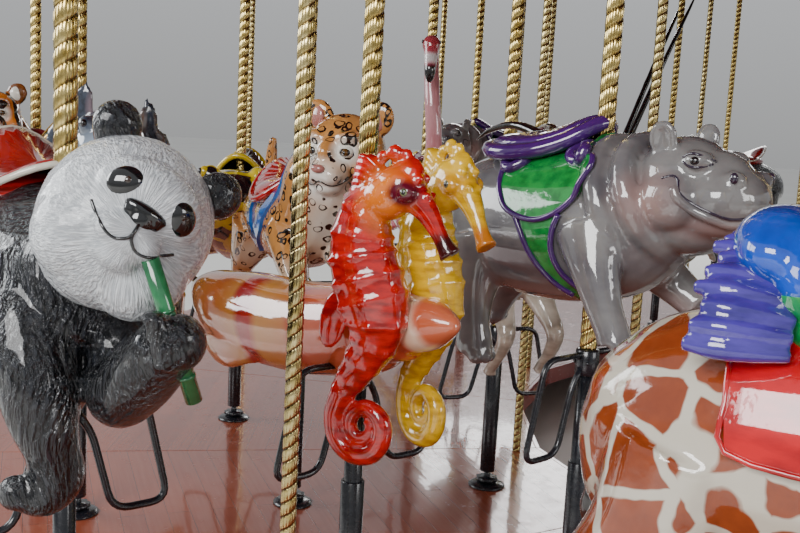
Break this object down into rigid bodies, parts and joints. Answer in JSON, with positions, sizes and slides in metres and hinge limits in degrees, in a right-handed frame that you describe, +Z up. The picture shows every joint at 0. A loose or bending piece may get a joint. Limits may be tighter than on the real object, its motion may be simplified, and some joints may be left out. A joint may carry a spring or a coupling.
{
  "type": "menagerie carousel",
  "caption": "Fairground carousel with a hung ring deck turning about a centre mast, and glossy animal rides on brass poles that rise and fall.",
  "frame": {"origin": "on the ground at the centre of the mast, under the middle of the bounding box", "axes": "+Z up along the mast and the spin axis; the pictured side lies towards -X and -Y"},
  "size_m": [10.5138, 10.6596, 5.62],
  "materials": {
    "painted_steel": "satin",
    "cream_panel": "gloss",
    "red_board": "gloss",
    "deck_boards": "gloss",
    "canopy_cloth": "matte",
    "gilt": "polished",
    "brass_pole": "polished",
    "glossy_panda": "gloss",
    "glossy_seahorse": "gloss",
    "glossy_hippo": "gloss",
    "glossy_giraffe": "gloss",
    "glossy_leopard": "gloss",
    "glossy_oryx": "gloss",
    "glossy_frog": "gloss",
    "glossy_flamingo": "gloss",
    "glossy_elephant": "gloss",
    "glossy_tiger": "gloss"
  },
  "bodies": {
    "centre": {"base_frame": "painted_steel", "centre_mast": "painted_steel", "centre_housing": "cream_panel", "housing_cornice": "red_board"},
    "platform": {"deck_segment_1": "deck_boards", "deck_segment_2": "deck_boards", "deck_segment_3": "deck_boards", "deck_segment_4": "deck_boards", "deck_segment_5": "deck_boards", "deck_segment_6": "deck_boards", "inner_fascia": "red_board", "outer_fascia": "red_board", "sweep_hub": "painted_steel", "sweep_bank_1": "painted_steel", "sweep_bank_2": "painted_steel", "sweep_bank_3": "painted_steel", "sweep_bank_4": "painted_steel", "sweep_bank_5": "painted_steel", "sweep_bank_6": "painted_steel", "king_post": "painted_steel", "rounding_boards": "cream_panel", "canopy": "canopy_cloth", "crown": "gilt"},
    "panda": {"panda_figure": "glossy_panda", "panda_pole": "brass_pole"},
    "seahorses": {"seahorses_figure": "glossy_seahorse", "seahorses_pole": "brass_pole"},
    "hippo": {"hippo_figure": "glossy_hippo", "hippo_pole": "brass_pole"},
    "giraffe": {"giraffe_figure": "glossy_giraffe", "giraffe_pole": "brass_pole"},
    "leopard": {"leopard_figure": "glossy_leopard", "leopard_pole": "brass_pole"},
    "oryx": {"oryx_figure": "glossy_oryx", "oryx_pole": "brass_pole"},
    "frog": {"frog_figure": "glossy_frog", "frog_pole": "brass_pole"},
    "flamingo": {"flamingo_figure": "glossy_flamingo", "flamingo_pole": "brass_pole"},
    "elephant": {"elephant_figure": "glossy_elephant", "elephant_pole": "brass_pole"},
    "tiger": {"tiger_figure": "glossy_tiger", "tiger_pole": "brass_pole"},
    "far_hippo": {"far_hippo_ride": "glossy_hippo"},
    "far_frog": {"far_frog_ride": "glossy_frog"},
    "far_oryx": {"far_oryx_ride": "glossy_oryx"},
    "far_panda": {"far_panda_ride": "glossy_panda"},
    "side_elephant": {"side_elephant_ride": "glossy_elephant"},
    "side_seahorses": {"side_seahorses_ride": "glossy_seahorse"},
    "side_leopard": {"side_leopard_ride": "glossy_leopard"},
    "side_giraffe": {"side_giraffe_ride": "glossy_giraffe"},
    "near_hippo": {"near_hippo_ride": "glossy_hippo"},
    "near_tiger": {"near_tiger_ride": "glossy_tiger"}
  },
  "joints": [
    {"name": "platform_spin", "type": "hinge", "parent": "centre", "child": "platform", "pos_m": [0, 0, 3.25], "axis": [0, 0, 1], "continuous": true},
    {"name": "panda_jump", "type": "slide", "parent": "platform", "child": "panda", "axis": [0, 0, 1], "range_m": [-0.25, 0.05]},
    {"name": "seahorses_jump", "type": "slide", "parent": "platform", "child": "seahorses", "axis": [0, 0, 1], "range_m": [-0.25, 0.05]},
    {"name": "hippo_jump", "type": "slide", "parent": "platform", "child": "hippo", "axis": [0, 0, 1], "range_m": [-0.25, 0.05]},
    {"name": "giraffe_jump", "type": "slide", "parent": "platform", "child": "giraffe", "axis": [0, 0, 1], "range_m": [-0.05, 0.25]},
    {"name": "leopard_jump", "type": "slide", "parent": "platform", "child": "leopard", "axis": [0, 0, 1], "range_m": [-0.25, 0.05]},
    {"name": "oryx_jump", "type": "slide", "parent": "platform", "child": "oryx", "axis": [0, 0, 1], "range_m": [-0.05, 0.25]},
    {"name": "frog_jump", "type": "slide", "parent": "platform", "child": "frog", "axis": [0, 0, 1], "range_m": [-0.05, 0.25]},
    {"name": "flamingo_jump", "type": "slide", "parent": "platform", "child": "flamingo", "axis": [0, 0, 1], "range_m": [-0.25, 0.05]},
    {"name": "elephant_jump", "type": "slide", "parent": "platform", "child": "elephant", "axis": [0, 0, 1], "range_m": [-0.05, 0.25]},
    {"name": "tiger_jump", "type": "slide", "parent": "platform", "child": "tiger", "axis": [0, 0, 1], "range_m": [-0.05, 0.25]},
    {"name": "far_hippo_jump", "type": "slide", "parent": "platform", "child": "far_hippo", "axis": [0, 0, 1], "range_m": [-0.25, 0.05]},
    {"name": "far_frog_jump", "type": "slide", "parent": "platform", "child": "far_frog", "axis": [0, 0, 1], "range_m": [-0.05, 0.25]},
    {"name": "far_oryx_jump", "type": "slide", "parent": "platform", "child": "far_oryx", "axis": [0, 0, 1], "range_m": [-0.05, 0.25]},
    {"name": "far_panda_jump", "type": "slide", "parent": "platform", "child": "far_panda", "axis": [0, 0, 1], "range_m": [-0.25, 0.05]},
    {"name": "side_elephant_jump", "type": "slide", "parent": "platform", "child": "side_elephant", "axis": [0, 0, 1], "range_m": [-0.05, 0.25]},
    {"name": "side_seahorses_jump", "type": "slide", "parent": "platform", "child": "side_seahorses", "axis": [0, 0, 1], "range_m": [-0.25, 0.05]},
    {"name": "side_leopard_jump", "type": "slide", "parent": "platform", "child": "side_leopard", "axis": [0, 0, 1], "range_m": [-0.05, 0.25]},
    {"name": "side_giraffe_jump", "type": "slide", "parent": "platform", "child": "side_giraffe", "axis": [0, 0, 1], "range_m": [-0.25, 0.05]},
    {"name": "near_hippo_jump", "type": "slide", "parent": "platform", "child": "near_hippo", "axis": [0, 0, 1], "range_m": [-0.05, 0.25]},
    {"name": "near_tiger_jump", "type": "slide", "parent": "platform", "child": "near_tiger", "axis": [0, 0, 1], "range_m": [-0.25, 0.05]}
  ],
  "couplings": [
    {"joint": "panda_jump", "follows": "oryx_jump", "ratio": -1},
    {"joint": "seahorses_jump", "follows": "oryx_jump", "ratio": -1},
    {"joint": "hippo_jump", "follows": "oryx_jump", "ratio": -1},
    {"joint": "giraffe_jump", "follows": "oryx_jump", "ratio": 1},
    {"joint": "leopard_jump", "follows": "oryx_jump", "ratio": -1},
    {"joint": "frog_jump", "follows": "oryx_jump", "ratio": 1},
    {"joint": "flamingo_jump", "follows": "oryx_jump", "ratio": -1},
    {"joint": "elephant_jump", "follows": "oryx_jump", "ratio": 1},
    {"joint": "tiger_jump", "follows": "oryx_jump", "ratio": 1},
    {"joint": "far_hippo_jump", "follows": "oryx_jump", "ratio": -1},
    {"joint": "far_frog_jump", "follows": "oryx_jump", "ratio": 1},
    {"joint": "far_oryx_jump", "follows": "oryx_jump", "ratio": 1},
    {"joint": "far_panda_jump", "follows": "oryx_jump", "ratio": -1},
    {"joint": "side_elephant_jump", "follows": "oryx_jump", "ratio": 1},
    {"joint": "side_seahorses_jump", "follows": "oryx_jump", "ratio": -1},
    {"joint": "side_leopard_jump", "follows": "oryx_jump", "ratio": 1},
    {"joint": "side_giraffe_jump", "follows": "oryx_jump", "ratio": -1},
    {"joint": "near_hippo_jump", "follows": "oryx_jump", "ratio": 1},
    {"joint": "near_tiger_jump", "follows": "oryx_jump", "ratio": -1}
  ]
}
